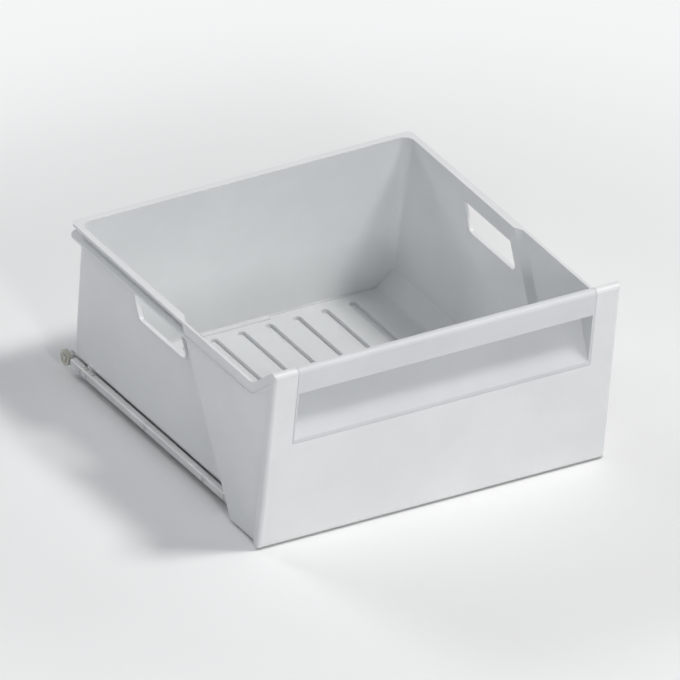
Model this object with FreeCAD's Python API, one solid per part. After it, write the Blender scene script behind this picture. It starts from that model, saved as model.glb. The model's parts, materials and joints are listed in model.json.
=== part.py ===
import FreeCAD, Part
import math
import os

from FreeCAD import Vector

# A fridge crisper drawer: one moulded tub, a grip strip set into its front wall,
# and a steel runner with a rear roller under each side.
# Millimetres. +X is right, the front faces -Y, +Z is up.
# "Forward" is measured from the rear edge of the rim towards the front.
# "Drop" is measured downwards from the top of the rim.

# Overall sizes
PANEL_WIDTH = 427.0
OVERALL_HEIGHT = 233.9
RIM_LENGTH = 459.3
CREST_RISE = 34.5
RIM_HEIGHT = OVERALL_HEIGHT - CREST_RISE
PANEL_HALF = PANEL_WIDTH / 2

# Walls
WALL = 2.4
CHEEK_WALL = 3.4
FRONT_WALL = 3.0
SIDE_DRAFT_DEG = 2.4
CHEEK_DRAFT_DEG = 1.1
REAR_LEAN_DEG = 7.3
FRONT_LEAN_DEG = 9.3

# Rear section, inside, at the rim
INNER_INSET = 10.7
INNER_HALF = PANEL_HALF - INNER_INSET
REAR_MARGIN = 8.8
CORNER_TOP_R = 13.5
CORNER_BOTTOM_R = 4.3

# Front cheeks and the flare that leads to them
CHEEK_INSET = 1.3
CHEEK_HALF = PANEL_HALF - CHEEK_INSET
FLARE_SETBACK = 216.2
FLARE_START = RIM_LENGTH - FLARE_SETBACK
FLARE_LENGTH = 10.0
FLARE_LEAN_DEG = 26.2
FLARE_FOOT_R = 6.0
FLARE_EDGE_R = 2.0
CHEEK_GROUND = 3.3
INNER_FRONT_R = 8.0

# Front panel
PANEL_EDGE_R = 4.2
PANEL_SIDE_LAND = 1.5
PANEL_BLEND_BACK = 13.6
PANEL_BLEND_GROWTH = 0.04
ROLL_R = 5.4
CREST_BACK_R = 2.5
CREST_DEPTH = 8.8
TOE_R = 10.8
TOE_LENGTH = 18.0
HEM_THICKNESS = 2.6
HEM_LIP = 6.0

# Rim
SWEEP_DEG = 37.0
SWEEP_R = 26.0
UPPER_FLANGE_INSET = 3.9
UPPER_FLANGE_HALF = PANEL_HALF - UPPER_FLANGE_INSET
UPPER_FLANGE_THICKNESS = 3.1
UPPER_FLANGE_CORNER_R = 7.4
LOWER_FLANGE_INSET = 2.0
LOWER_FLANGE_HALF = PANEL_HALF - LOWER_FLANGE_INSET
LOWER_FLANGE_DROP = 13.7
LOWER_FLANGE_THICKNESS = 2.8
LOWER_FLANGE_CORNER_R = 12.0
LOWER_FLANGE_BACK = 3.2

# Hand holes
HOLE_HEIGHT = 31.4
HOLE_LENGTH = 105.0
HOLE_FLARE_GAP = 6.3
HOLE_FORWARD = FLARE_START - HOLE_FLARE_GAP - HOLE_LENGTH
HOLE_R = 6.0
HOLE_SLANT_DEG = 27.7
COLLAR = 2.9
COLLAR_PROUD = 2.6

# Floor, benches and grooves
FLOOR_HEIGHT = 6.6
BENCH_FOOT_INSET = 36.6
BENCH_FOOT_HALF = PANEL_HALF - BENCH_FOOT_INSET
BENCH_TOP_Z = 28.4
BENCH_SLOPE_DEG = 49.2
BENCH_FOOT_R = 7.0
BENCH_TOP_R = 4.0
WALL_FOOT_R = 14.5
GROOVE_COUNT = 9
GROOVE_PITCH = 34.2
GROOVE_WIDTH = 9.6
GROOVE_REAR_GAP = 15.0
GROOVE_FRONT_GAP = 16.0
RIB_BEVEL_DEG = 45.0
LEDGE_HALF = 152.0
LEDGE_HEIGHT = 2.0
LEDGE_PROUD = 1.4
GATE_HALF = 42.0
GATE_PROUD = 7.5

# Grip strip in the front wall
GRIP_INSET = 29.9
GRIP_HALF = PANEL_HALF - GRIP_INSET
GRIP_WALL = 2.5
GRIP_LIP_BOTTOM_DROP = -1.8
GRIP_SCOOP_DROP = 59.9
GRIP_SCOOP_LEAN_DEG = 20.0
GRIP_POCKET_TOP_DROP = -6.0
GRIP_POCKET_R = 9.0
GRIP_SEAM = 0.3
GRIP_FLANGE = 8.0
GRIP_FLANGE_THICKNESS = 2.0
GRIP_FLANGE_HEADROOM = 1.0
GRIP_LIP_R = 1.0

# Runners
RAIL_GAUGE = 1.2
RAIL_INSET = 17.0
RAIL_WIDTH = 8.4
RAIL_WEB_HALF = PANEL_HALF - RAIL_INSET
RAIL_OUTER_HALF = RAIL_WEB_HALF + RAIL_WIDTH
RAIL_TOP = 23.4
RAIL_WEB_BOTTOM = 6.5
RAIL_LIP_BOTTOM = 16.0
RAIL_BEND_R = 0.4
RAIL_REAR = -9.0
RAIL_FRONT_GAP = 2.0
RAIL_NOSE = 6.0
RAIL_NOSE_R = 2.0
NOTCH_REAR = (13.0, 26.0)
NOTCH_FRONT_GAP = 38.9
NOTCH_LENGTH = 5.0
NOTCH_HEIGHT = 4.8
STOP_FRONT_GAP = 62.8
STOP_LENGTH = 9.0
STOP_TOP_LENGTH = 5.5
STOP_RISE = 0.6

# Pads under the benches that the runners are fixed to
PAD_COUNT = 3
PAD_REAR = 62.0
PAD_FRONT_GAP = 28.5
PAD_LENGTH = 14.0
PAD_BOTTOM = 7.0
PAD_TOP = 17.0

# Roller, its bracket, axle and rivets
ROLLER_BACK = 23.0
ROLLER_HEIGHT = 18.5
ROLLER_R = 9.0
ROLLER_WIDTH = 5.0
ROLLER_RECESS_R = 6.2
ROLLER_RECESS = 1.2
ROLLER_SIDE_PLAY = 0.4
AXLE_R = 2.0
AXLE_PLAY = 0.05
AXLE_HEAD_R = 3.6
AXLE_HEAD_THICKNESS = 1.4
LUG_R = 6.2
LUG_THICKNESS = 3.0
LUG_RAIL_GAP = 3.0
LUG_FORWARD = 4.0
BRACKET_GAUGE = 1.5
BRACKET_EAR_R = 6.5
BRACKET_FORWARD = 42.0
BRACKET_BOTTOM = 11.5
BRACKET_BEND_GAP = 0.2
BRACKET_TAB_REAR = 6.0
BRACKET_TAB_GAP = 1.0
RIVET_FORWARD = (18.8, 32.8)
RIVET_R = 1.5
RIVET_HEAD_R = 2.6
RIVET_HEAD_THICKNESS = 1.3

# Room past the object for cutting bodies
BEYOND = 60.0
BELOW_GROUND = 5.0
# How far a side profile stands off the face that its round edges run into
FACE_BITE = 0.1
# Points closer together than this count as one
SAME_PLACE = 1e-6

SIDE_DRAFT = math.tan(math.radians(SIDE_DRAFT_DEG))
CHEEK_DRAFT = math.tan(math.radians(CHEEK_DRAFT_DEG))
REAR_LEAN = math.tan(math.radians(REAR_LEAN_DEG))
FRONT_LEAN = math.tan(math.radians(FRONT_LEAN_DEG))
FLARE_LEAN = math.tan(math.radians(FLARE_LEAN_DEG))
HOLE_SLANT = math.tan(math.radians(HOLE_SLANT_DEG))
BENCH_SLOPE = math.tan(math.radians(BENCH_SLOPE_DEG))
SCOOP_LEAN = math.tan(math.radians(GRIP_SCOOP_LEAN_DEG))

# The origin is midway between the front of the panel and the back of the rollers
FRONT_MOST = RIM_LENGTH + FRONT_LEAN * (CREST_RISE - ROLL_R)
REAR_Y = (FRONT_MOST - ROLLER_BACK - ROLLER_R) / 2


def side_point(forward, z):
    return Vector(0, REAR_Y - forward, z)


def plan_point(x, forward):
    return Vector(x, REAR_Y - forward, 0)


def end_point(x, z):
    return Vector(x, 0, z)


def face_forward(z):
    return RIM_LENGTH - FRONT_LEAN * (RIM_HEIGHT - z)


def mirrored(shape):
    return shape.mirror(Vector(0, 0, 0), Vector(1, 0, 0))


def both_sides(shape):
    return [shape, mirrored(shape)]


# Corners are (a, b, radius): straight runs joined by tangent arcs
def rounded_wire(corners, place):
    runs = []
    arcs = []
    count = len(corners)
    for i in range(count):
        ax, ay, radius = corners[i]
        px, py = corners[i - 1][:2]
        nx, ny = corners[(i + 1) % count][:2]
        here = Vector(ax, ay, 0)
        back = Vector(px - ax, py - ay, 0).normalize()
        ahead = Vector(nx - ax, ny - ay, 0).normalize()
        if radius == 0:
            arcs.append((here, None, here))
            continue
        half = back.getAngle(ahead) / 2
        reach = radius / math.tan(half)
        bisector = (back + ahead).normalize()
        middle = here + bisector * (radius / math.sin(half) - radius)
        arcs.append((here + back * reach, middle, here + ahead * reach))
    for i in range(count):
        start, middle, end = [None if p is None else place(p.x, p.y) for p in arcs[i]]
        if middle is not None:
            runs.append(Part.Arc(start, middle, end).toShape())
        following = arcs[(i + 1) % count][0]
        following = place(following.x, following.y)
        if end.distanceToPoint(following) > SAME_PLACE:
            runs.append(Part.makeLine(end, following))
    return Part.Wire(runs)


def prism(corners, place, direction, start=Vector(0, 0, 0)):
    face = Part.Face(rounded_wire(corners, place))
    face.translate(start)
    return face.extrude(direction)


# A side profile, carried across the drawer from -half to +half
def across(corners, half):
    return prism(corners, side_point, Vector(2 * half, 0, 0), Vector(-half, 0, 0))


# A side profile on the right, from one X to another
def on_right(corners, x_from, x_to):
    return prism(corners, side_point, Vector(x_to - x_from, 0, 0), Vector(x_from, 0, 0))


# An end profile, carried from one forward distance to another
def along(corners, rear, front):
    start = Vector(0, REAR_Y - rear, 0)
    return prism(corners, end_point, Vector(0, rear - front, 0), start)


# A plan outline, carried from one height to another
def upright(corners, low, high):
    return prism(corners, plan_point, Vector(0, 0, high - low), Vector(0, 0, low))


def box(x_from, x_to, rear, front, low, high):
    corner = Vector(x_from, REAR_Y - front, low)
    return Part.makeBox(x_to - x_from, front - rear, high - low, corner)


# A round bar along X
def bar(radius, x_from, x_to, forward, z):
    return Part.makeCylinder(radius, x_to - x_from, Vector(x_from, REAR_Y - forward, z), Vector(1, 0, 0))


# A round post along Z
def post(radius, low, high, x, forward):
    return Part.makeCylinder(radius, high - low, Vector(x, REAR_Y - forward, low))


# A sheet of even gauge: the path's outer side is given, the other side lies to its right
def sheet_corners(path, gauge):
    inner = []
    for i, (a, b, radius) in enumerate(path):
        here = Vector(a, b, 0)
        turns = []
        if i > 0:
            turns.append((here - Vector(path[i - 1][0], path[i - 1][1], 0)).normalize())
        if i < len(path) - 1:
            turns.append((Vector(path[i + 1][0], path[i + 1][1], 0) - here).normalize())
        sides = [Vector(t.y, -t.x, 0) for t in turns]
        middle = sum(sides, Vector(0, 0, 0)).normalize()
        shift = here + middle * (gauge / middle.dot(sides[0]))
        bend = radius
        if len(turns) == 2 and radius > 0:
            right_turn = turns[0].cross(turns[1]).z < 0
            bend = max(radius - gauge, 0) if right_turn else radius + gauge
        inner.append((shift.x, shift.y, bend))
    return path + inner[::-1]


# Heights and distances that several features share
CREST_Z = RIM_HEIGHT + CREST_RISE
CREST_FRONT = face_forward(CREST_Z)
CREST_BACK = CREST_FRONT - CREST_DEPTH
SWEEP_FOOT = CREST_BACK - CREST_RISE / math.tan(math.radians(SWEEP_DEG))
TOE_BACK = face_forward(0) - TOE_LENGTH
BENCH_TOP_HALF = BENCH_FOOT_HALF + (BENCH_TOP_Z - FLOOR_HEIGHT) / BENCH_SLOPE
BENCH_SKIN = WALL / math.sin(math.radians(BENCH_SLOPE_DEG))
REAR_AT_FLOOR = REAR_MARGIN - REAR_LEAN * (RIM_HEIGHT - FLOOR_HEIGHT)
FRONT_AT_FLOOR = face_forward(FLOOR_HEIGHT) - FRONT_WALL


# Corners of the right half of the walls' plan at one height, from the rear to the front
def wall_corners(z, outside):
    drop = RIM_HEIGHT - z
    skin = WALL if outside else 0
    cheek_top = CHEEK_HALF if outside else CHEEK_HALF - CHEEK_WALL
    rear_half = INNER_HALF + skin - SIDE_DRAFT * drop
    cheek_half = cheek_top - CHEEK_DRAFT * drop
    rear = REAR_MARGIN - REAR_LEAN * drop - skin
    flare = FLARE_START + FLARE_LEAN * drop - skin / 2
    flare_end = flare + FLARE_LENGTH * (cheek_half - rear_half) / (cheek_top - INNER_HALF - skin)
    corners = [(rear_half, rear), (rear_half, flare), (cheek_half, flare_end)]
    if not outside:
        return corners + [(cheek_half, face_forward(z) - FRONT_WALL)]
    front = face_forward(z)
    side = PANEL_HALF
    blend = front - PANEL_BLEND_BACK - PANEL_BLEND_GROWTH * drop
    land = front - PANEL_EDGE_R - PANEL_SIDE_LAND
    return corners + [(cheek_half, blend), (side, land), (side, front)]


def wall_points(z, outside):
    right = [plan_point(x, forward) + Vector(0, 0, z) for x, forward in wall_corners(z, outside)]
    return right + [Vector(-point.x, point.y, z) for point in reversed(right)]


def closed_solid(faces):
    shell = Part.makeShell(faces)
    shell.sewShape()
    body = Part.makeSolid(shell)
    if body.Volume < 0:
        body.reverse()
    return body


def flat_face(points):
    return Part.Face(Part.makePolygon(points + points[:1]))


# A strip of wall between two straight edges: flat, or ruled where their directions differ
def wall_strip(below, below_next, above, above_next):
    normal = (below_next - below).cross(above - below).normalize()
    if abs((above_next - below).dot(normal)) < SAME_PLACE:
        return flat_face([below, below_next, above_next, above])
    return Part.makeRuledSurface(Part.makeLine(below, below_next), Part.makeLine(above, above_next))


# What a wall's rear corner loses to its rounding: a cone that touches both walls and narrows downwards
def corner_filler(outside):
    skin = WALL if outside else 0
    fade = (CORNER_TOP_R - CORNER_BOTTOM_R) / (RIM_HEIGHT - FLOOR_HEIGHT)
    tip_z = RIM_HEIGHT - (CORNER_TOP_R + skin) / fade
    top_z = CREST_Z + 2 * BEYOND
    radius = fade * (top_z - tip_z)
    tip, top = [plan_point(*wall_corners(z, outside)[0]) + Vector(0, 0, z) for z in (tip_z, top_z)]
    from_side = Vector(-1, 0, SIDE_DRAFT).normalize()
    from_rear = Vector(0, -1, -REAR_LEAN).normalize()
    centre = top + (from_side + from_rear) * (radius / (1 + from_side.dot(from_rear)))
    axis = centre - tip
    spread = math.tan(math.asin(radius / axis.Length))
    cone = Part.makeCone(0, 2 * axis.Length * spread, 2 * axis.Length, tip, axis)
    cone.rotate(tip, axis, 180)
    past = top * 2 - centre
    on_side = centre - from_side * radius
    on_rear = centre - from_rear * radius
    wedge = closed_solid([
        flat_face([tip, on_side, on_rear]),
        flat_face([tip, on_side, past]),
        flat_face([tip, on_rear, past]),
        flat_face([on_side, on_rear, past]),
    ])
    return wedge.cut(cone)


# The upright edges that start at these corners of the plan, on both sides
def upright_edges(body, points, indices):
    starts = [points[i] for i in indices] + [points[-1 - i] for i in indices]
    chosen = []
    for edge in body.Edges:
        low, high = sorted([vertex.Point for vertex in edge.Vertexes], key=lambda point: point.z)
        nearest = min(low.distanceToPoint(start) for start in starts)
        if high.z - low.z > BEYOND and nearest < SAME_PLACE:
            chosen.append(edge)
    return chosen


def wall_body(low, high, outside):
    below = wall_points(low, outside)
    above = wall_points(high, outside)
    count = len(below)
    faces = [flat_face(below), flat_face(above)]
    for i in range(count):
        j = (i + 1) % count
        faces.append(wall_strip(below[i], below[j], above[i], above[j]))
    body = closed_solid(faces)
    front_r = PANEL_EDGE_R if outside else INNER_FRONT_R
    hollow_r, round_r = (FLARE_FOOT_R, FLARE_EDGE_R) if outside else (FLARE_EDGE_R, FLARE_FOOT_R)
    front = count // 2 - 1
    for radius, index in ((hollow_r, 1), (round_r, 2), (front_r, front)):
        body = body.makeFillet(radius, upright_edges(body, below, [index]))
    return body.cut(both_sides(corner_filler(outside)))


def bench_half(z):
    return BENCH_FOOT_HALF + (z - FLOOR_HEIGHT) / BENCH_SLOPE


# The side view of the whole moulding: rim, sweep, rolled crest, leaning face, toe
def side_silhouette():
    return across([
        (-BEYOND, CHEEK_GROUND, 0),
        (-BEYOND, RIM_HEIGHT, 0),
        (SWEEP_FOOT, RIM_HEIGHT, SWEEP_R),
        (CREST_BACK, CREST_Z, CREST_BACK_R),
        (CREST_FRONT + FACE_BITE, CREST_Z, ROLL_R),
        (face_forward(0) + FACE_BITE, 0, TOE_R),
        (TOE_BACK, 0, 0),
        (TOE_BACK, CHEEK_GROUND, 0),
    ], PANEL_WIDTH)


# The room inside: inner walls, above the floor and the sloped benches
def cavity():
    inner = wall_body(0, CREST_Z + BEYOND, False)
    right = [
        (BENCH_FOOT_HALF, FLOOR_HEIGHT, BENCH_FOOT_R),
        (BENCH_TOP_HALF, BENCH_TOP_Z, BENCH_TOP_R),
        (PANEL_WIDTH, BENCH_TOP_Z, 0),
        (PANEL_WIDTH, CREST_Z + BEYOND, 0),
    ]
    left = [(-x, z, radius) for x, z, radius in reversed(right)]
    return inner.common(along(right + left, -BEYOND, RIM_LENGTH + BEYOND))


# The hollow under the floor and benches, behind the toe and inside the cheeks' skirts
def underside():
    inner = wall_body(-BELOW_GROUND, CREST_Z, False)
    under = FLOOR_HEIGHT - WALL
    foot = bench_half(under) + BENCH_SKIN
    top = BENCH_TOP_Z - WALL
    right = [
        (foot, under, BENCH_FOOT_R),
        (bench_half(top) + BENCH_SKIN, top, 0),
        (PANEL_WIDTH, top, 0),
        (PANEL_WIDTH, -BEYOND, 0),
    ]
    left = [(-x, z, radius) for x, z, radius in reversed(right)]
    return inner.common(along(right + left, -BEYOND, TOE_BACK))


def outer_half(z):
    return INNER_HALF + WALL - SIDE_DRAFT * (RIM_HEIGHT - z)


# The runner's tunnel: open to the side and rear, ending at the flare.
# Above it the side wall's foot rounds inwards to the underside of the bench.
def tunnel():
    foot = bench_half(0) + BENCH_SKIN
    corner_z = (outer_half(0) + FACE_BITE - foot) / (1 / BENCH_SLOPE - SIDE_DRAFT)
    turn = math.radians(90 - BENCH_SLOPE_DEG - SIDE_DRAFT_DEG)
    edge_z = corner_z + WALL_FOOT_R * math.tan(turn / 2) * math.cos(math.radians(SIDE_DRAFT_DEG))
    section = [
        (foot, -BEYOND, 0),
        (foot, 0, 0),
        (outer_half(corner_z) + FACE_BITE, corner_z, WALL_FOOT_R),
        (outer_half(edge_z) + FACE_BITE, edge_z, 0),
        (PANEL_WIDTH, edge_z, 0),
        (PANEL_WIDTH, -BEYOND, 0),
    ]
    room = along(section, -BEYOND, RIM_LENGTH)
    flare_foot = FLARE_START - WALL / 2 + FLARE_LEAN * RIM_HEIGHT
    flare_top = FLARE_START - WALL / 2
    behind_flare = across([
        (-2 * BEYOND, -BEYOND, 0),
        (-2 * BEYOND, RIM_HEIGHT, 0),
        (flare_top, RIM_HEIGHT, 0),
        (flare_foot + FLARE_LEAN * BEYOND, -BEYOND, 0),
    ], PANEL_WIDTH)
    return room.common(behind_flare)


# Plan outline of a rim flange, tapering out to the cheeks
def flange_outline(rear_half, rear, front_half, corner):
    right = [
        (rear_half, rear, corner),
        (front_half, FLARE_START + FLARE_LENGTH, 0),
        (front_half, RIM_LENGTH + BEYOND, 0),
    ]
    left = [(-x, forward, radius) for x, forward, radius in reversed(right)]
    return upright(right + left, 0, CREST_Z + BEYOND)


def upper_flange():
    low = RIM_HEIGHT - UPPER_FLANGE_THICKNESS
    outline = flange_outline(UPPER_FLANGE_HALF, 0, CHEEK_HALF, UPPER_FLANGE_CORNER_R)
    front = FLARE_START + FLARE_LENGTH
    return outline.common(box(-PANEL_WIDTH, PANEL_WIDTH, -BEYOND, front, low, RIM_HEIGHT))


# The lower flange runs on along the cheeks as a ridge, level and then up with the sweep
def lower_flange():
    outline = flange_outline(LOWER_FLANGE_HALF, -LOWER_FLANGE_BACK, PANEL_HALF, LOWER_FLANGE_CORNER_R)
    top = RIM_HEIGHT - LOWER_FLANGE_DROP
    end_z = CREST_Z - LOWER_FLANGE_DROP
    path = [
        (-BEYOND, top, 0),
        (SWEEP_FOOT, top, SWEEP_R),
        (CREST_BACK, end_z, 0),
    ]
    return outline.common(across(sheet_corners(path, LOWER_FLANGE_THICKNESS), PANEL_WIDTH))


# A hand hole's legs run straight up to the lower flange, and its bottom corners are round
def hole_corners(grow):
    top = RIM_HEIGHT - LOWER_FLANGE_DROP - LOWER_FLANGE_THICKNESS - COLLAR + grow
    bottom = top - HOLE_HEIGHT - 2 * grow
    shift = HOLE_SLANT * (top - bottom)
    slant = grow / math.cos(math.radians(HOLE_SLANT_DEG)) + HOLE_SLANT * grow
    rear = HOLE_FORWARD - slant
    front = HOLE_FORWARD + HOLE_LENGTH + grow / math.cos(math.radians(HOLE_SLANT_DEG)) - HOLE_SLANT * grow
    radius = HOLE_R + grow
    return [
        (rear, top, 0),
        (front, top, 0),
        (front + shift, bottom, radius),
        (rear + shift, bottom, radius),
    ]


GROOVE_REAR = REAR_AT_FLOOR + GROOVE_REAR_GAP
GROOVE_FRONT = FRONT_AT_FLOOR - GROOVE_FRONT_GAP


def groove(x):
    half = GROOVE_WIDTH / 2
    high = FLOOR_HEIGHT + WALL
    ends = [GROOVE_REAR + half, GROOVE_FRONT - half]
    middle = box(x - half, x + half, ends[0], ends[1], WALL, high)
    return middle.fuse([post(half, WALL, high, x, end) for end in ends])


# Under the floor each groove stands out as a rib, with bevelled ends that keep the wall's thickness
def groove_rib(x):
    half = GROOVE_WIDTH / 2 + WALL
    bevel = half * (1 - math.tan(math.radians(RIB_BEVEL_DEG / 2)))
    rear = GROOVE_REAR - WALL
    front = GROOVE_FRONT + WALL
    return upright([
        (x - half, rear + bevel, 0),
        (x - half + bevel, rear, 0),
        (x + half - bevel, rear, 0),
        (x + half, rear + bevel, 0),
        (x + half, front - bevel, 0),
        (x + half - bevel, front, 0),
        (x - half + bevel, front, 0),
        (x - half, front - bevel, 0),
    ], 0, FLOOR_HEIGHT)


def groove_centres():
    first = -(GROOVE_COUNT - 1) / 2 * GROOVE_PITCH
    return [first + i * GROOVE_PITCH for i in range(GROOVE_COUNT)]


# The top of the front wall folds back into a hem with a short turned-down lip
def hem(moulding):
    band = across([
        (SWEEP_FOOT, CREST_Z - HEM_THICKNESS, 0),
        (SWEEP_FOOT, CREST_Z + BEYOND, 0),
        (RIM_LENGTH + BEYOND, CREST_Z + BEYOND, 0),
        (RIM_LENGTH + BEYOND, CREST_Z - HEM_THICKNESS, 0),
    ], PANEL_WIDTH)
    lip = across([
        (CREST_BACK, CREST_Z - HEM_THICKNESS - HEM_LIP, 0),
        (CREST_BACK, CREST_Z - HEM_THICKNESS, 0),
        (CREST_BACK + WALL, CREST_Z - HEM_THICKNESS, 0),
        (CREST_BACK + WALL, CREST_Z - HEM_THICKNESS - HEM_LIP, 0),
    ], CHEEK_HALF - CHEEK_WALL)
    return moulding.common(band).fuse(lip)


# Where the grip strip's back leg lies: a line that leans back as it rises from the face
def scoop_forward(z):
    scoop_z = RIM_HEIGHT - GRIP_SCOOP_DROP
    return face_forward(scoop_z) - SCOOP_LEAN * (z - scoop_z)


GRIP_SKIN = GRIP_WALL / math.cos(math.radians(GRIP_SCOOP_LEAN_DEG))


# The gap in the front wall and hem that the grip strip drops into
def grip_notch():
    low = RIM_HEIGHT - GRIP_SCOOP_DROP - 2 * GRIP_FLANGE
    return across([
        (scoop_forward(low) - GRIP_SKIN, low, 0),
        (scoop_forward(CREST_Z) - GRIP_SKIN, CREST_Z, 0),
        (scoop_forward(CREST_Z) - GRIP_SKIN, CREST_Z + BEYOND, 0),
        (RIM_LENGTH + BEYOND, CREST_Z + BEYOND, 0),
        (RIM_LENGTH + BEYOND, low, 0),
    ], GRIP_HALF + GRIP_SEAM)


# A pad under the bench, flat against the runner's web
def rail_pad(forward, room):
    half = PAD_LENGTH / 2
    return box(BENCH_FOOT_HALF, RAIL_WEB_HALF, forward - half, forward + half, PAD_BOTTOM, PAD_TOP).cut(room)


# Where the lug's outer face lies, and the axle ends against it
def lug_half():
    return RAIL_WEB_HALF - LUG_RAIL_GAP


# A round-ended lug behind the tub's rear wall, a rib under the bench, that backs the roller's axle
def axle_lug(room):
    outer = lug_half()
    inner = outer - LUG_THICKNESS
    low = ROLLER_HEIGHT - LUG_R
    high = ROLLER_HEIGHT + LUG_R
    rib = box(inner, outer, -ROLLER_BACK, LUG_FORWARD, low, high)
    return rib.fuse(bar(LUG_R, inner, outer, -ROLLER_BACK, ROLLER_HEIGHT)).cut(room)


# The pads stand evenly along the runner
def pad_places():
    step = (rail_front() - PAD_FRONT_GAP - PAD_REAR) / (PAD_COUNT - 1)
    return [PAD_REAR + i * step for i in range(PAD_COUNT)]


def make_tub():
    moulding = wall_body(0, CREST_Z + BEYOND, True).common(side_silhouette())
    room = cavity()
    collar_half = outer_half(RIM_HEIGHT - LOWER_FLANGE_DROP - HOLE_HEIGHT) + COLLAR_PROUD
    collar = on_right(hole_corners(COLLAR), BENCH_FOOT_HALF, collar_half)
    outside = moulding.fuse([upper_flange(), lower_flange()] + both_sides(collar))
    tub = outside.cut([room, underside()] + both_sides(tunnel()))
    ribs = [groove_rib(x) for x in groove_centres()]
    rear = REAR_AT_FLOOR - WALL / 2
    low = FLOOR_HEIGHT - WALL / 2
    high = FLOOR_HEIGHT + LEDGE_HEIGHT
    ledge = box(-LEDGE_HALF, LEDGE_HALF, rear, REAR_AT_FLOOR + LEDGE_PROUD, low, high)
    gate = box(-GATE_HALF, GATE_HALF, rear, REAR_AT_FLOOR + GATE_PROUD, low, high)
    supports = both_sides(axle_lug(room))
    for forward in pad_places():
        supports += both_sides(rail_pad(forward, room))
    tub = tub.fuse([hem(moulding), ledge, gate] + ribs + supports)
    hole = on_right(hole_corners(0), BENCH_FOOT_HALF, PANEL_WIDTH)
    grooves = [groove(x) for x in groove_centres()]
    tub = tub.cut(both_sides(hole) + grooves + [grip_notch()])
    return tub.removeSplitter()


# Flanges of the grip strip, flat against the inside of the front wall
def grip_flanges():
    scoop_z = RIM_HEIGHT - GRIP_SCOOP_DROP
    low = scoop_z - GRIP_FLANGE
    spread = SCOOP_LEAN + FRONT_LEAN
    meets_wall = scoop_z + (FRONT_WALL - GRIP_SKIN) / spread
    meets_back = scoop_z + (FRONT_WALL + GRIP_FLANGE_THICKNESS - GRIP_SKIN) / spread
    thick = GRIP_FLANGE_THICKNESS
    below = across([
        (face_forward(low) - FRONT_WALL, low, 0),
        (face_forward(meets_wall) - FRONT_WALL, meets_wall, 0),
        (face_forward(meets_back) - FRONT_WALL - thick, meets_back, 0),
        (face_forward(low) - FRONT_WALL - thick, low, 0),
    ], GRIP_HALF + GRIP_FLANGE)
    high = CREST_Z - HEM_THICKNESS - HEM_LIP - GRIP_FLANGE_HEADROOM
    beside = on_right([
        (face_forward(low) - FRONT_WALL, low, 0),
        (face_forward(high) - FRONT_WALL, high, 0),
        (face_forward(high) - FRONT_WALL - thick, high, 0),
        (face_forward(low) - FRONT_WALL - thick, low, 0),
    ], GRIP_HALF, GRIP_HALF + GRIP_FLANGE)
    return [below] + both_sides(beside)


# The grip strip: scooped back leg, top strip and lip in one bent section, closed at both ends
def make_grip():
    lip_z = RIM_HEIGHT - GRIP_LIP_BOTTOM_DROP
    pocket_z = RIM_HEIGHT - GRIP_POCKET_TOP_DROP
    low = RIM_HEIGHT - GRIP_SCOOP_DROP - GRIP_FLANGE
    path = [
        (scoop_forward(low) - GRIP_SKIN, low, 0),
        (scoop_forward(pocket_z) - GRIP_SKIN, pocket_z, GRIP_POCKET_R),
        (CREST_BACK, CREST_Z, CREST_BACK_R),
        (CREST_FRONT, CREST_Z, ROLL_R),
        (face_forward(lip_z), lip_z, GRIP_LIP_R),
    ]
    behind_face = across([
        (0, low - BEYOND, 0),
        (0, CREST_Z + BEYOND, 0),
        (face_forward(CREST_Z + BEYOND), CREST_Z + BEYOND, 0),
        (face_forward(low - BEYOND), low - BEYOND, 0),
    ], PANEL_WIDTH)
    shell = across(sheet_corners(path, GRIP_WALL), GRIP_HALF)
    outline = path[:-1] + [(face_forward(lip_z), lip_z, 0)]
    end_wall = on_right(outline, GRIP_HALF - GRIP_WALL, GRIP_HALF)
    body = shell.fuse(both_sides(end_wall)).common(behind_face)
    return body.fuse(grip_flanges()).removeSplitter()


# Two notches lie near the rivets, one near the front end and one midway
def notch_places():
    front = rail_front() - NOTCH_FRONT_GAP
    return [*NOTCH_REAR, (NOTCH_REAR[-1] + front) / 2, front]


def make_rail():
    section = [
        (RAIL_WEB_HALF, RAIL_WEB_BOTTOM, 0),
        (RAIL_WEB_HALF, RAIL_TOP, RAIL_BEND_R + RAIL_GAUGE),
        (RAIL_OUTER_HALF, RAIL_TOP, RAIL_BEND_R + RAIL_GAUGE),
        (RAIL_OUTER_HALF, RAIL_LIP_BOTTOM, 0),
    ]
    web_front = rail_front()
    rail = along(sheet_corners(section, RAIL_GAUGE), RAIL_REAR, web_front + RAIL_NOSE)
    inner_nose = upright([
        (0, web_front, 0),
        (RAIL_OUTER_HALF - RAIL_GAUGE - RAIL_NOSE_R, web_front, RAIL_NOSE_R),
        (RAIL_OUTER_HALF - RAIL_GAUGE - RAIL_NOSE_R, web_front + BEYOND, 0),
        (0, web_front + BEYOND, 0),
    ], -BEYOND, RIM_HEIGHT)
    cuts = [inner_nose]
    for forward in RIVET_FORWARD:
        cuts.append(post(RIVET_R, 0, RIM_HEIGHT, rivet_half(), forward))
    for forward in notch_places():
        cuts.append(box(RAIL_OUTER_HALF - 2 * RAIL_GAUGE, RAIL_OUTER_HALF + RAIL_GAUGE,
                        forward - NOTCH_LENGTH / 2, forward + NOTCH_LENGTH / 2,
                        RAIL_LIP_BOTTOM - RAIL_GAUGE, RAIL_LIP_BOTTOM + NOTCH_HEIGHT))
    return rail.cut(cuts).fuse(rail_stop()).removeSplitter()


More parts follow.
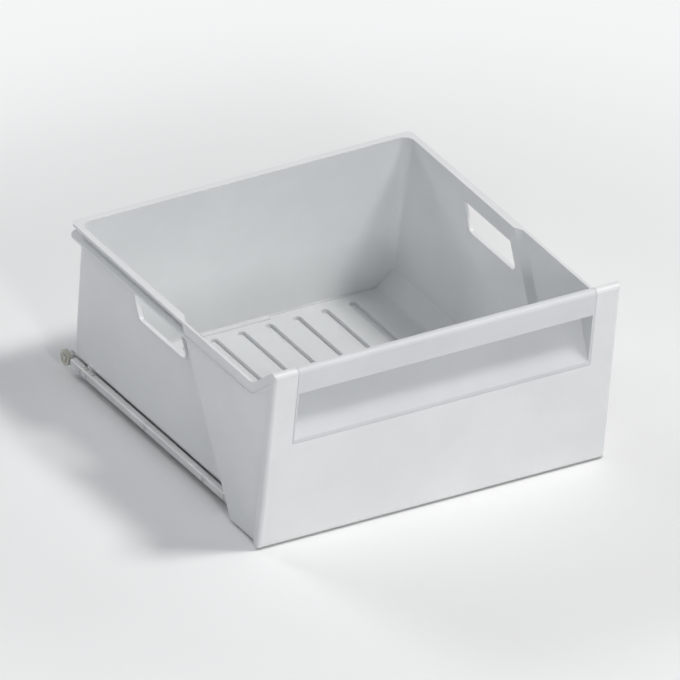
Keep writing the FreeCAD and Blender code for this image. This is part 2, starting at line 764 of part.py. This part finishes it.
# A low ridge pressed up across the runner's flange
def rail_stop():
    bend = RAIL_BEND_R + RAIL_GAUGE
    middle = rail_front() - STOP_FRONT_GAP
    foot = STOP_LENGTH / 2
    top = STOP_TOP_LENGTH / 2
    return on_right([
        (middle - foot, RAIL_TOP, 0),
        (middle - top, RAIL_TOP + STOP_RISE, 0),
        (middle + top, RAIL_TOP + STOP_RISE, 0),
        (middle + foot, RAIL_TOP, 0),
    ], RAIL_WEB_HALF + bend, RAIL_OUTER_HALF - bend)


def rail_front():
    return FLARE_START - WALL / 2 + FLARE_LEAN * (RIM_HEIGHT - RAIL_TOP) - RAIL_FRONT_GAP


def bracket_tab_end():
    return RAIL_OUTER_HALF - RAIL_GAUGE - BRACKET_TAB_GAP


def rivet_half():
    return (RAIL_WEB_HALF + RAIL_GAUGE + BRACKET_GAUGE + bracket_tab_end()) / 2


# The bracket: a bent sheet riveted under the runner's flange, its leg flat against the web
# and running back to a round ear for the axle
def make_bracket():
    inner = RAIL_WEB_HALF + RAIL_GAUGE
    under_flange = RAIL_TOP - RAIL_GAUGE
    bend = RAIL_BEND_R + BRACKET_BEND_GAP
    angle = along(sheet_corners([
        (inner, BRACKET_BOTTOM, 0),
        (inner, under_flange, bend),
        (bracket_tab_end(), under_flange, 0),
    ], BRACKET_GAUGE), BRACKET_TAB_REAR, BRACKET_FORWARD)
    leg = on_right([
        (-ROLLER_BACK, BRACKET_BOTTOM, 0),
        (-ROLLER_BACK, under_flange - bend, 0),
        (BRACKET_TAB_REAR, under_flange - bend, 0),
        (BRACKET_TAB_REAR, BRACKET_BOTTOM, 0),
    ], inner, inner + BRACKET_GAUGE)
    ear = bar(BRACKET_EAR_R, inner, inner + BRACKET_GAUGE, -ROLLER_BACK, ROLLER_HEIGHT)
    axle_hole = bar(AXLE_R, 0, PANEL_WIDTH, -ROLLER_BACK, ROLLER_HEIGHT)
    return angle.fuse([leg, ear]).cut(axle_hole).removeSplitter()


# Rivets: studs welded to the bracket's tab, headed over on top of the runner's flange
def make_rivet(forward):
    x = rivet_half()
    shank = post(RIVET_R, RAIL_TOP - RAIL_GAUGE, RAIL_TOP, x, forward)
    head = post(RIVET_HEAD_R, RAIL_TOP, RAIL_TOP + RIVET_HEAD_THICKNESS, x, forward)
    return shank.fuse(head).removeSplitter()


def make_rivets():
    return Part.makeCompound([make_rivet(forward) for forward in RIVET_FORWARD])


def roller_inner():
    return RAIL_WEB_HALF + RAIL_GAUGE + BRACKET_GAUGE + ROLLER_SIDE_PLAY


# A turned piece about the roller's axis, from corners (x, radius)
def turned(corners):
    points = [Vector(x, REAR_Y + ROLLER_BACK, ROLLER_HEIGHT + radius) for x, radius in corners]
    face = Part.Face(Part.makePolygon(points + points[:1]))
    return face.revolve(Vector(0, REAR_Y + ROLLER_BACK, ROLLER_HEIGHT), Vector(1, 0, 0), 360)


def make_roller():
    inner = roller_inner()
    outer = inner + ROLLER_WIDTH
    bore = AXLE_R + AXLE_PLAY
    return turned([
        (inner, bore),
        (inner, ROLLER_R),
        (outer, ROLLER_R),
        (outer, ROLLER_RECESS_R),
        (outer - ROLLER_RECESS, ROLLER_RECESS_R),
        (outer - ROLLER_RECESS, bore),
    ])


# The axle: through the bracket to the tub's lug, with a head in the roller's recess
def make_axle():
    head = roller_inner() + ROLLER_WIDTH - ROLLER_RECESS + ROLLER_SIDE_PLAY
    head_end = head + AXLE_HEAD_THICKNESS
    return turned([
        (lug_half(), 0),
        (lug_half(), AXLE_R),
        (head, AXLE_R),
        (head, AXLE_HEAD_R),
        (head_end, AXLE_HEAD_R),
        (head_end, 0),
    ])


os.makedirs("parts", exist_ok=True)
make_tub().exportStep("parts/tub.step")
make_grip().exportStep("parts/handle_insert.step")
right_pieces = {
    "rail": make_rail(),
    "roller_bracket": make_bracket(),
    "bracket_rivets": make_rivets(),
    "axle_pin": make_axle(),
    "roller": make_roller(),
}
for name, shape in right_pieces.items():
    shape.exportStep("parts/right_" + name + ".step")
    mirrored(shape).exportStep("parts/left_" + name + ".step")
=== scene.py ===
import json
import math

import bmesh
import bpy
from mathutils import Matrix, Vector


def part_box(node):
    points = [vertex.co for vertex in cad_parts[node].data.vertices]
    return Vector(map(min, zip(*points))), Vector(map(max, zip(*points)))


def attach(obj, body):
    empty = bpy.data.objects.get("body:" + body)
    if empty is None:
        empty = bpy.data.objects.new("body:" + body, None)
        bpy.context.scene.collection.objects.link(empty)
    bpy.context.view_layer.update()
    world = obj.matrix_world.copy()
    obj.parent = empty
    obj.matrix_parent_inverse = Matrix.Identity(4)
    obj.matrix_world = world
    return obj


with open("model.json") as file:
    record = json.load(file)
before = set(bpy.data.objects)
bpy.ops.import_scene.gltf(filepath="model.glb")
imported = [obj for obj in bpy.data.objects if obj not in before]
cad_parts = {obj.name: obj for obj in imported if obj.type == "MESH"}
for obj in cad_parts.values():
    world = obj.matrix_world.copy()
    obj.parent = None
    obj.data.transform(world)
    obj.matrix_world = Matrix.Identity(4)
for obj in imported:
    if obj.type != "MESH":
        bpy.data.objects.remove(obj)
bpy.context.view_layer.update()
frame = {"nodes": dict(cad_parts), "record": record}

MM = 0.001
QUARTER_TURN = math.pi / 2

# The view of the drawing: a parallel projection, in which a pixel of the picture is 1.08 mm
PICTURE_PIXELS = 680
PIXEL = 1.08 * MM
VIEW_AZIMUTH = math.radians(-28.9)
VIEW_ELEVATION = math.radians(29.0)
VIEW_WIDTH = PICTURE_PIXELS * PIXEL
VIEW_RIGHT_OF_ORIGIN = 3.2 * MM
VIEW_ABOVE_ORIGIN = 88.8 * MM
VIEW_DISTANCE = 2.5


# Materials


class Shader:
    """A material with one Principled shader, and short calls that add and join nodes."""

    BEVEL_SAMPLES = 6
    CREASE_SAMPLES = 8

    def __init__(self, name, **constants):
        self.material = bpy.data.materials.new(name)
        self.material.use_nodes = True
        self.tree = self.material.node_tree
        self.tree.nodes.clear()
        self.output = self.tree.nodes.new("ShaderNodeOutputMaterial")
        self.principled = self.tree.nodes.new("ShaderNodeBsdfPrincipled")
        self.tree.links.new(self.principled.outputs["BSDF"], self.output.inputs["Surface"])
        for socket, value in constants.items():
            self.principled.inputs[socket.replace("_", " ")].default_value = value
        self.place = self.tree.nodes.new("ShaderNodeTexCoord").outputs["Object"]

    def node(self, kind, inputs, **settings):
        made = self.tree.nodes.new(kind)
        for key, value in settings.items():
            setattr(made, key, value)
        for key, value in inputs.items():
            if isinstance(value, bpy.types.NodeSocket):
                self.tree.links.new(value, made.inputs[key])
            else:
                made.inputs[key].default_value = value
        return made

    def set(self, socket, value):
        self.tree.links.new(value, self.principled.inputs[socket])

    def math(self, operation, first, second=0.0, clamp=False):
        inputs = {0: first, 1: second}
        return self.node("ShaderNodeMath", inputs, operation=operation, use_clamp=clamp).outputs[0]

    def plus(self, first, second, clamp=False):
        return self.math("ADD", first, second, clamp)

    def minus(self, first, second, clamp=False):
        return self.math("SUBTRACT", first, second, clamp)

    def times(self, first, second, clamp=False):
        return self.math("MULTIPLY", first, second, clamp)

    def share(self, value, amount):
        return self.times(value, amount)

    # Noise of 0 to 1, turned into a swing to both sides of zero
    def swing(self, noise, width):
        return self.share(self.minus(noise, 0.5), amount=width)

    def noise(self, scale, detail=2.0, roughness=0.5, vector=None):
        made = self.node("ShaderNodeTexNoise", {
            "Vector": self.place if vector is None else vector,
            "Scale": scale,
            "Detail": detail,
            "Roughness": roughness,
        })
        return made.outputs["Fac"]

    # Noise with a scale for each axis, so that it is drawn out along the axis with the smallest
    def streaks(self, x, y, z, detail=3.0, roughness=0.6):
        scaled = self.node("ShaderNodeVectorMath", {0: self.place, 1: (x, y, z)}, operation="MULTIPLY")
        return self.noise(1.0, detail, roughness, scaled.outputs[0])

    def ramp(self, value, low, high, from_value=0.0, to_value=1.0):
        made = self.node("ShaderNodeMapRange", {
            "Value": value,
            "From Min": low,
            "From Max": high,
            "To Min": from_value,
            "To Max": to_value,
        }, interpolation_type="SMOOTHSTEP")
        return made.outputs["Result"]

    def mix(self, factor, first, second):
        made = self.node("ShaderNodeMix", {"Factor": factor, "A": first, "B": second}, data_type="RGBA")
        return made.outputs[2]

    def bump(self, height, strength, distance, normal):
        made = self.node("ShaderNodeBump", {
            "Height": height,
            "Strength": strength,
            "Distance": distance,
            "Normal": normal,
        })
        return made.outputs["Normal"]

    def soft_normal(self, radius):
        made = self.node("ShaderNodeBevel", {"Radius": radius}, samples=self.BEVEL_SAMPLES)
        return made.outputs["Normal"]

    # 0 on a flat face, rising towards 1 where the face turns over an edge
    def edge_mask(self, soft, low, high):
        flat = self.node("ShaderNodeNewGeometry", {}).outputs["True Normal"]
        made = self.node("ShaderNodeVectorMath", {0: soft, 1: flat}, operation="DOT_PRODUCT")
        return self.ramp(made.outputs["Value"], low, high, from_value=1.0, to_value=0.0)

    # 0 in the open, rising towards 1 in creases and grooves
    def crease(self, reach):
        made = self.node("ShaderNodeAmbientOcclusion", {"Distance": reach}, samples=self.CREASE_SAMPLES)
        return self.minus(1.0, made.outputs["AO"], clamp=True)


# Moulded plastic: mottled colour, painted shade that darkens the creases towards a dust colour (from
# ambient occlusion, made patchy), scuffs, fine grain, rubbed edges, slight sink waves
def moulded_plastic(name, pale, deep, dust_and_shade, roughness, grain_size, grain_depth, rub):
    s = Shader(name, IOR=1.5, Specular_IOR_Level=0.5)
    soft = s.soft_normal(radius=0.9 * MM)
    edges = s.edge_mask(soft, low=0.80, high=0.995)
    mottle = s.ramp(s.noise(scale=9.0, detail=4.0, roughness=0.6), low=0.3, high=0.7)
    colour = s.mix(mottle, deep, pale)
    patches = s.noise(scale=55.0, detail=5.0, roughness=0.65)
    patchy = s.ramp(patches, low=0.25, high=0.75, from_value=0.35, to_value=1.0)
    # Painted shade: ambient occlusion darkens creases and grooves towards the dust colour, patchy by noise;
    # the scuffs below use the same colour
    creased = s.ramp(s.crease(reach=9 * MM), low=0.35, high=0.95)
    painted_crease_shade = s.share(s.times(creased, patchy), amount=0.55)
    colour = s.mix(painted_crease_shade, colour, dust_and_shade)
    lengthwise = s.ramp(s.streaks(420.0, 9.0, 420.0), low=0.60, high=0.72)
    crosswise = s.ramp(s.streaks(10.0, 360.0, 360.0), low=0.63, high=0.75)
    handled = s.ramp(s.noise(scale=14.0), low=0.42, high=0.66)
    scuffs = s.times(s.math("MAXIMUM", lengthwise, crosswise), handled)
    s.set("Base Color", s.mix(s.share(scuffs, amount=0.10), colour, dust_and_shade))
    grain = s.noise(scale=1.0 / grain_size, detail=3.0, roughness=0.55)
    rough = s.plus(roughness, s.swing(grain, width=0.18))
    rough = s.plus(rough, s.share(scuffs, amount=0.12))
    rough = s.plus(rough, s.share(painted_crease_shade, amount=0.25))
    s.set("Roughness", s.minus(rough, s.share(edges, amount=rub), clamp=True))
    sinks = s.noise(scale=16.0, detail=1.0, roughness=0.4)
    waves = s.bump(sinks, strength=0.10, distance=6 * MM, normal=soft)
    s.set("Normal", s.bump(grain, strength=grain_depth, distance=grain_size, normal=waves))
    return s.material


# Powder-coated sheet steel: orange peel, chipped edges that show bright metal, rubbed running faces,
# painted shade in the creases
def coated_steel(name, paint, worn_paint, metal, painted_shade_colour, roughness):
    s = Shader(name, IOR=1.5, Coat_Weight=0.15, Coat_Roughness=0.25)
    soft = s.soft_normal(radius=0.35 * MM)
    edges = s.edge_mask(soft, low=0.86, high=0.995)
    chips = s.ramp(s.noise(scale=520.0, detail=5.0, roughness=0.7), low=0.50, high=0.62)
    bare = s.times(edges, chips, clamp=True)
    rubbed = s.ramp(s.streaks(900.0, 14.0, 900.0, detail=4.0), low=0.56, high=0.70)
    tone = s.ramp(s.noise(scale=30.0, detail=4.0, roughness=0.6), low=0.3, high=0.7)
    colour = s.mix(tone, worn_paint, paint)
    colour = s.mix(s.share(rubbed, amount=0.35), colour, worn_paint)
    # Painted shade: ambient occlusion darkens creases and grooves towards a dark colour
    painted_groove_shade = s.ramp(s.crease(reach=5 * MM), low=0.4, high=0.95)
    colour = s.mix(s.share(painted_groove_shade, amount=0.45), colour, painted_shade_colour)
    s.set("Base Color", s.mix(bare, colour, metal))
    s.set("Metallic", bare)
    peel = s.noise(scale=850.0)
    rough = s.plus(roughness, s.swing(peel, width=0.16))
    s.set("Roughness", s.plus(rough, s.share(rubbed, amount=0.12), clamp=True))
    s.set("Normal", s.bump(peel, strength=0.16, distance=0.8 * MM, normal=soft))
    return s.material


# Natural nylon, grey where the roller has run on its track. The tread is found by distance from the axle
def roller_nylon(name, pale, deep, rubbed, roughness, axle):
    s = Shader(
        name,
        IOR=1.53,
        Subsurface_Weight=0.12,
        Subsurface_Scale=1.2 * MM,
        Subsurface_Radius=(1.0, 0.9, 0.7),
    )
    soft = s.soft_normal(radius=0.4 * MM)
    parts = s.node("ShaderNodeSeparateXYZ", {0: s.place})
    y = s.minus(parts.outputs["Y"], axle.y)
    z = s.minus(parts.outputs["Z"], axle.z)
    from_axle = s.math("SQRT", s.plus(s.times(y, y), s.times(z, z)))
    tread = s.ramp(from_axle, low=8.3 * MM, high=8.95 * MM)
    turning = s.node("ShaderNodeCombineXYZ", {"X": parts.outputs["X"], "Y": from_axle})
    rings = s.noise(scale=2600.0, detail=3.0, roughness=0.6, vector=turning.outputs[0])
    blotches = s.ramp(s.noise(scale=260.0, detail=4.0, roughness=0.6), low=0.3, high=0.7)
    colour = s.mix(blotches, deep, pale)
    dirt = s.noise(scale=2400.0, detail=4.0, roughness=0.6)
    track = s.times(tread, s.ramp(dirt, low=0.35, high=0.65, from_value=0.4, to_value=0.62))
    s.set("Base Color", s.mix(track, colour, rubbed))
    rough = s.plus(roughness, s.swing(rings, width=0.25))
    s.set("Roughness", s.plus(rough, s.share(track, amount=0.2), clamp=True))
    s.set("Normal", s.bump(rings, strength=0.12, distance=0.3 * MM, normal=soft))
    return s.material


# Bright zinc plate: faint yellow-blue passivation, tool marks, dull spots
def zinc_plate(name, bright, tinted, dull, roughness):
    s = Shader(name, Metallic=1.0)
    soft = s.soft_normal(radius=0.25 * MM)
    tint = s.ramp(s.noise(scale=300.0, detail=3.0, roughness=0.6), low=0.3, high=0.7)
    spots = s.ramp(s.noise(scale=900.0, detail=5.0, roughness=0.7), low=0.58, high=0.70)
    colour = s.mix(tint, bright, tinted)
    s.set("Base Color", s.mix(s.share(spots, amount=0.7), colour, dull))
    marks = s.streaks(5200.0, 900.0, 900.0, roughness=0.5)
    rough = s.plus(roughness, s.swing(marks, width=0.2))
    s.set("Roughness", s.plus(rough, s.share(spots, amount=0.25), clamp=True))
    s.set("Normal", s.bump(marks, strength=0.08, distance=0.2 * MM, normal=soft))
    return s.material


def opaque(red, green, blue):
    return (red, green, blue, 1.0)


TUB = moulded_plastic(
    "tub_plastic",
    pale=opaque(0.83, 0.845, 0.85),
    deep=opaque(0.79, 0.805, 0.81),
    dust_and_shade=opaque(0.52, 0.51, 0.48),
    roughness=0.36,
    grain_size=0.45 * MM,
    grain_depth=0.10,
    rub=0.10,
)
GRIP = moulded_plastic(
    "grip_plastic",
    pale=opaque(0.72, 0.735, 0.75),
    deep=opaque(0.68, 0.695, 0.71),
    dust_and_shade=opaque(0.45, 0.45, 0.43),
    roughness=0.44,
    grain_size=0.35 * MM,
    grain_depth=0.16,
    rub=0.14,
)
RUNNER = coated_steel(
    "runner_steel",
    paint=opaque(0.76, 0.77, 0.76),
    worn_paint=opaque(0.66, 0.67, 0.66),
    metal=opaque(0.55, 0.55, 0.56),
    painted_shade_colour=opaque(0.40, 0.39, 0.36),
    roughness=0.34,
)
# Both rollers have their axles at the same Y and Z
roller_low, roller_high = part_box("right_roller")
ROLLER = roller_nylon(
    "roller_nylon",
    pale=opaque(0.70, 0.68, 0.60),
    deep=opaque(0.62, 0.60, 0.52),
    rubbed=opaque(0.30, 0.29, 0.27),
    roughness=0.36,
    axle=(Vector(roller_low) + Vector(roller_high)) / 2,
)
ZINC = zinc_plate(
    "fastener_zinc",
    bright=opaque(0.62, 0.63, 0.65),
    tinted=opaque(0.64, 0.62, 0.56),
    dull=opaque(0.36, 0.36, 0.36),
    roughness=0.26,
)

FINISHES = {
    "tub plastic": TUB,
    "grip plastic": GRIP,
    "runner steel": RUNNER,
    "roller plastic": ROLLER,
    "fastener steel": ZINC,
}
for part in frame["record"]["subparts"]:
    mesh = frame["nodes"][part["node"]].data
    mesh.materials.clear()
    mesh.materials.append(FINISHES[part["material_slot"]])


# Runner screws: pan heads with a tapered cross recess, driven through the runners' webs into the tub's pads

WEB_FACE_HALF = 197.7 * MM
SCREW_HEIGHT = 12.0 * MM
SCREW_REAR_Y = 154.03 * MM
SCREW_PITCH = 118.0 * MM
SCREW_COUNT = 3
SCREW_TURN = 0.5
SCREW_TURN_STEP = 0.7
SCREW_SEGMENTS = 48
HEAD_R = 3.6 * MM
HEAD_H = 1.8 * MM
SEAT_SHARE = 0.98
SEAT_H = 0.12 * MM
CROWN_H = 1.15 * MM
CROWN_INWARD = 0.62
CROWN_FLATNESS = 0.97
CROWN_STEPS = 9
TOP_SHARE = 0.16
RECESS_SPAN = 3.9 * MM
RECESS_WIDTH = 0.95 * MM
RECESS_DEPTH = 1.15 * MM
RECESS_FLOOR_SHARE = 0.55
RECESS_MOUTH_SHARE = 1.15
RECESS_WALL_TAPER = 0.3
RECESS_ARMS = 4
ABOVE_HEAD = 0.4 * MM
SHARP_DEG = 38


# Radius and height of the head's outline, from its seat over the rounded rim to the crown
def head_profile():
    rim_top = HEAD_H - CROWN_H
    points = [(HEAD_R * SEAT_SHARE, 0.0), (HEAD_R, SEAT_H), (HEAD_R, rim_top)]
    for index in range(1, CROWN_STEPS):
        turn = index / CROWN_STEPS * QUARTER_TURN
        inward = (1 - math.cos(turn)) * CROWN_INWARD
        points.append((HEAD_R * (1 - inward), rim_top + CROWN_H * math.sin(turn) * CROWN_FLATNESS))
    points.append((HEAD_R * TOP_SHARE, HEAD_H))
    return points


# A closed mesh through outlines of equal length, one above the other
def lofted(name, outlines):
    shape = bmesh.new()
    rings = [[shape.verts.new(point) for point in outline] for outline in outlines]
    count = len(rings[0])
    for low, high in zip(rings, rings[1:]):
        for index in range(count):
            after = (index + 1) % count
            shape.faces.new((low[index], low[after], high[after], high[index]))
    shape.faces.new(rings[-1])
    shape.faces.new(list(reversed(rings[0])))
    mesh = bpy.data.meshes.new(name)
    shape.to_mesh(mesh)
    shape.free()
    return mesh


def turned_head(name):
    turns = [2 * math.pi * index / SCREW_SEGMENTS for index in range(SCREW_SEGMENTS)]
    return lofted(name, [
        [(radius * math.cos(turn), radius * math.sin(turn), height) for turn in turns]
        for radius, height in head_profile()
    ])


# A cross, wide at the top and narrowing to its floor, as the driver's tip leaves it
def cross_cutter(name):
    levels = (
        (HEAD_H - RECESS_DEPTH, RECESS_FLOOR_SHARE),
        (HEAD_H + ABOVE_HEAD, RECESS_MOUTH_SHARE),
    )
    outlines = []
    for height, share in levels:
        reach = RECESS_SPAN / 2 * share
        half = RECESS_WIDTH / 2 * (1 - RECESS_WALL_TAPER * (1 - share))
        outline = []
        for arm in range(RECESS_ARMS):
            turn = Matrix.Rotation(arm * QUARTER_TURN, 3, "Z")
            for x, y in ((reach, -half), (reach, half), (half, half)):
                outline.append(turn @ Vector((x, y, height)))
        outlines.append(outline)
    return lofted(name, outlines)


def recessed_head():
    head = bpy.data.objects.new("screw_blank", turned_head("screw_blank"))
    cutter = bpy.data.objects.new("screw_cutter", cross_cutter("screw_cutter"))
    for item in (head, cutter):
        bpy.context.scene.collection.objects.link(item)
    cut = head.modifiers.new("recess", "BOOLEAN")
    cut.operation = "DIFFERENCE"
    cut.solver = "EXACT"
    cut.object = cutter
    evaluated = head.evaluated_get(bpy.context.evaluated_depsgraph_get())
    mesh = bpy.data.meshes.new_from_object(evaluated)
    bpy.data.objects.remove(head)
    bpy.data.objects.remove(cutter)
    mesh.materials.clear()
    mesh.materials.append(ZINC)
    for face in mesh.polygons:
        face.use_smooth = True
    mesh.set_sharp_from_angle(angle=math.radians(SHARP_DEG))
    return mesh


# The screws of a side are numbered from the rear, and each stops at an angle of its own
screw_mesh = recessed_head()
for side_name, side in (("left", -1), ("right", 1)):
    outward = Matrix.Rotation(side * QUARTER_TURN, 4, "Y")
    for index in range(SCREW_COUNT):
        number = index + 1
        screw = bpy.data.objects.new(f"{side_name}_runner_screw_{number}", screw_mesh.copy())
        seat = Matrix.Translation((side * WEB_FACE_HALF, SCREW_REAR_Y - index * SCREW_PITCH, SCREW_HEIGHT))
        driven = Matrix.Rotation(SCREW_TURN + SCREW_TURN_STEP * number * side, 4, "Z")
        screw.matrix_world = seat @ outward @ driven
        bpy.context.scene.collection.objects.link(screw)
        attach(screw, "drawer")


# Stage: floor, room light, lamps and camera

BACKDROP = opaque(0.91, 0.915, 0.92)
FADE_FROM = 0.45
FADE_TO = 1.0
FLOOR_HALF = 4.0
FLOOR_DROP = 0.2 * MM
FLOOR_PALE = opaque(0.95, 0.95, 0.95)
FLOOR_DEEP_SHARE = 0.985
ROOM_COLOUR = opaque(0.92, 0.95, 1.0)
ROOM_STRENGTH = 0.24
LAMPS_AIM = Vector((0.0, 0.0, 0.1))


# Rays that look at the backdrop, straight or in a reflection, as against the light that falls on the object
def looking(tree):
    path = tree.nodes.new("ShaderNodeLightPath")
    total = path.outputs["Is Camera Ray"]
    for other in ("Is Glossy Ray", "Is Transmission Ray"):
        either = tree.nodes.new("ShaderNodeMath")
        either.operation = "MAXIMUM"
        tree.links.new(total, either.inputs[0])
        tree.links.new(path.outputs[other], either.inputs[1])
        total = either.outputs[0]
    return total


# Pale paper that keeps the object's shadow, and fades into the backdrop's tone away from the object
def floor_paper(name, pale, deep):
    s = Shader(name, Roughness=0.85, Specular_IOR_Level=0.2)
    tone = s.ramp(s.noise(scale=3.0, detail=3.0), low=0.3, high=0.7)
    s.set("Base Color", s.mix(tone, deep, pale))
    away = s.node("ShaderNodeVectorMath", {0: s.place}, operation="LENGTH").outputs["Value"]
    faded = s.times(s.ramp(away, low=FADE_FROM, high=FADE_TO), looking(s.tree))
    glow = s.node("ShaderNodeEmission", {"Color": BACKDROP, "Strength": 1.0})
    joined = s.node("ShaderNodeMixShader", {
        0: faded,
        1: s.principled.outputs["BSDF"],
        2: glow.outputs["Emission"],
    })
    s.tree.links.new(joined.outputs[0], s.output.inputs["Surface"])
    return s.material


floor_deep = opaque(*[FLOOR_DEEP_SHARE * value for value in FLOOR_PALE[:3]])
floor_corners = [(-1, -1), (1, -1), (1, 1), (-1, 1)]
floor_mesh = bpy.data.meshes.new("floor")
floor_mesh.from_pydata([(x * FLOOR_HALF, y * FLOOR_HALF, 0) for x, y in floor_corners], [], [(0, 1, 2, 3)])
floor_mesh.materials.append(floor_paper("floor_paper", FLOOR_PALE, floor_deep))
floor = bpy.data.objects.new("floor", floor_mesh)
floor.location.z = -FLOOR_DROP
bpy.context.scene.collection.objects.link(floor)

world = bpy.data.worlds.new("studio")
bpy.context.scene.world = world
world.use_nodes = True
sky = world.node_tree
room_light = sky.nodes["Background"]
room_light.inputs["Color"].default_value = ROOM_COLOUR
room_light.inputs["Strength"].default_value = ROOM_STRENGTH
backdrop = sky.nodes.new("ShaderNodeBackground")
backdrop.inputs["Color"].default_value = BACKDROP
either_sky = sky.nodes.new("ShaderNodeMixShader")
sky.links.new(looking(sky), either_sky.inputs[0])
sky.links.new(room_light.outputs[0], either_sky.inputs[1])
sky.links.new(backdrop.outputs[0], either_sky.inputs[2])
sky.links.new(either_sky.outputs[0], sky.nodes["World Output"].inputs["Surface"])


def softbox(name, place, width, height, watts, colour):
    data = bpy.data.lights.new(name, "AREA")
    data.shape = "RECTANGLE"
    data.size = width
    data.size_y = height
    data.energy = watts
    data.color = colour
    light = bpy.data.objects.new(name, data)
    light.location = place
    light.rotation_euler = (LAMPS_AIM - Vector(place)).to_track_quat("-Z", "Y").to_euler()
    bpy.context.scene.collection.objects.link(light)


softbox(
    "key",
    place=(1.9, -1.8, 4.4),
    width=1.0,
    height=1.0,
    watts=128.0,
    colour=(1.0, 0.985, 0.96),
)
softbox(
    "graze",
    place=(-0.83, -3.7, 1.6),
    width=0.5,
    height=0.5,
    watts=33.0,
    colour=(0.98, 0.99, 1.0),
)
softbox(
    "rim",
    place=(-1.3, 3.6, 2.4),
    width=1.6,
    height=1.2,
    watts=46.0,
    colour=(0.96, 0.98, 1.0),
)

view_right = Vector((math.cos(VIEW_AZIMUTH), math.sin(VIEW_AZIMUTH), 0.0))
view_back = Vector((
    math.sin(VIEW_AZIMUTH) * math.cos(VIEW_ELEVATION),
    -math.cos(VIEW_AZIMUTH) * math.cos(VIEW_ELEVATION),
    math.sin(VIEW_ELEVATION),
))
view_up = view_back.cross(view_right)
picture_centre = view_right * VIEW_RIGHT_OF_ORIGIN + view_up * VIEW_ABOVE_ORIGIN
camera_data = bpy.data.cameras.new("camera")
camera_data.type = "ORTHO"
camera_data.ortho_scale = VIEW_WIDTH
camera = bpy.data.objects.new("camera", camera_data)
camera.location = picture_centre + view_back * VIEW_DISTANCE
camera.rotation_euler = (-view_back).to_track_quat("-Z", "Y").to_euler()
bpy.context.scene.collection.objects.link(camera)
bpy.context.scene.camera = camera
bpy.context.scene.view_settings.view_transform = "Standard"
